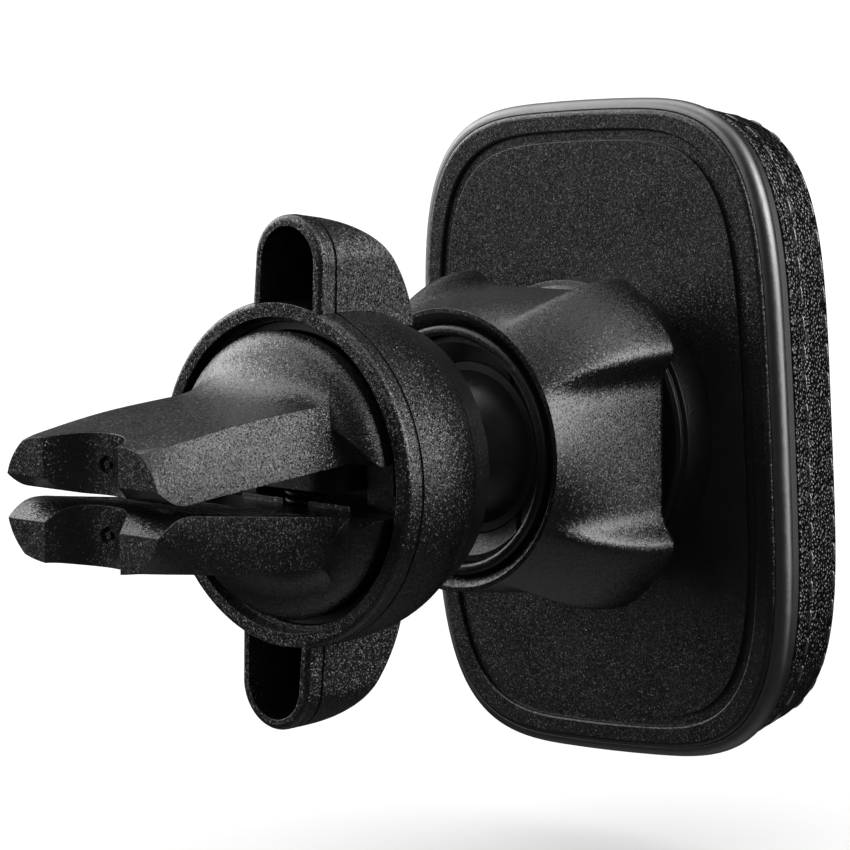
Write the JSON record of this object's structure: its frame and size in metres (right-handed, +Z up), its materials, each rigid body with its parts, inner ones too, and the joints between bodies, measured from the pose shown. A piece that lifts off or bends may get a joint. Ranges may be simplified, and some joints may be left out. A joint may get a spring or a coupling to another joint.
{
  "type": "car phone mount",
  "caption": "Magnetic car vent phone mount: leather-covered oblong magnet plate on a lockable ball joint, with a wing-knob clip whose pivoted jaws close on a vent blade.",
  "frame": {"origin": "centre of the flat front face the phone rests on", "axes": "+Y runs from the phone face straight back towards the vent, +Z is up the long side of the plate, +X completes the right-handed set (to the right when looking along +Y)"},
  "size_m": [0.0474, 0.0805, 0.0664],
  "materials": {
    "black_leather": "pebbled, semi-matte",
    "foam": "open-cell foam, matte",
    "magnet": "nickel plated",
    "yoke_steel": "zinc plated",
    "band_plastic": "fine matte",
    "shell_plastic": "fine spark texture, satin",
    "trim_plastic": "semi-gloss",
    "screw_steel": "zinc plated",
    "socket_plastic": "satin",
    "pad_rubber": "matte",
    "nylon": "black, waxy satin",
    "nut_plastic": "satin",
    "clamp_ring_plastic": "satin",
    "ball_metal": "black satin coating",
    "clip_plastic": "satin",
    "knob_plastic": "satin",
    "knob_ring_plastic": "satin",
    "spring_steel": "bright drawn wire",
    "jaw_plastic": "fine texture, satin",
    "grip_rubber": "matte, ribbed",
    "pin_steel": "ground"
  },
  "bodies": {
    "clip": {"clip_body": "clip_plastic", "ball_stud": "ball_metal", "upper_jaw_pin": "pin_steel", "lower_jaw_pin": "pin_steel", "knob_snap_ring": "spring_steel", "upper_jaw_spring": "spring_steel", "lower_jaw_spring": "spring_steel"},
    "upper_jaw_body": {"upper_jaw": "jaw_plastic", "upper_grip_pad": "grip_rubber"},
    "lower_jaw_body": {"lower_jaw": "jaw_plastic", "lower_grip_pad": "grip_rubber"},
    "knob": {"wing_knob": "knob_plastic", "knob_rear_ring": "knob_ring_plastic"},
    "closing_ring_body": {"closing_ring": "nylon"},
    "liner": {"ball_liner": "nylon"},
    "pad": {"friction_pad": "pad_rubber"},
    "head": {"ball_socket": "socket_plastic", "rear_shell": "shell_plastic", "trim_ring": "trim_plastic", "magnet_tray": "band_plastic", "magnets": "magnet", "steel_yoke": "yoke_steel", "foam_pad": "foam", "leather_cover": "black_leather", "tray_screws": "screw_steel", "socket_screws": "screw_steel"},
    "clamp_ring": {"nut_clamp_ring": "clamp_ring_plastic"},
    "nut": {"lock_nut": "nut_plastic"}
  },
  "joints": [
    {"name": "knob_turn", "type": "hinge", "parent": "clip", "child": "knob", "pos_m": [0, 0.0488, 0], "axis": [0, 1, 0], "range_deg": [-300, 40]},
    {"name": "closing_ring_slide", "type": "slide", "parent": "clip", "child": "closing_ring_body", "axis": [0, 1, 0], "range_m": [-0.0026, 0.0004]},
    {"name": "upper_jaw_swing", "type": "hinge", "parent": "clip", "child": "upper_jaw_body", "pos_m": [0, 0.0505, 0.005], "axis": [1, 0, 0], "range_deg": [-0.9, 6.6], "deforming": ["upper_jaw_spring"]},
    {"name": "lower_jaw_swing", "type": "hinge", "parent": "clip", "child": "lower_jaw_body", "pos_m": [0, 0.0505, -0.005], "axis": [-1, 0, 0], "range_deg": [-0.9, 6.6], "deforming": ["lower_jaw_spring"]},
    {"name": "head_pan", "type": "hinge", "parent": "clip", "child": "liner", "pos_m": [0, 0.0263, 0], "axis": [0, 0, 1], "range_deg": [-20, 20]},
    {"name": "head_tilt", "type": "hinge", "parent": "liner", "child": "pad", "pos_m": [0, 0.0263, 0], "axis": [1, 0, 0], "range_deg": [-20, 20]},
    {"name": "head_spin", "type": "hinge", "parent": "pad", "child": "head", "pos_m": [0, 0.0263, 0], "axis": [0, 1, 0], "continuous": true},
    {"name": "nut_slide", "type": "slide", "parent": "head", "child": "clamp_ring", "axis": [0, 1, 0], "range_m": [0, 0.001]},
    {"name": "nut_turn", "type": "hinge", "parent": "clamp_ring", "child": "nut", "pos_m": [0, 0.0262, 0], "axis": [0, 1, 0], "range_deg": [0, 120]}
  ],
  "couplings": [
    {"joint": "closing_ring_slide", "follows": "knob_turn", "m_per_rad": 0.00047746},
    {"joint": "upper_jaw_swing", "follows": "knob_turn", "ratio": -0.021667},
    {"joint": "lower_jaw_swing", "follows": "knob_turn", "ratio": -0.021667},
    {"joint": "nut_slide", "follows": "nut_turn", "m_per_rad": 0.00047699}
  ]
}
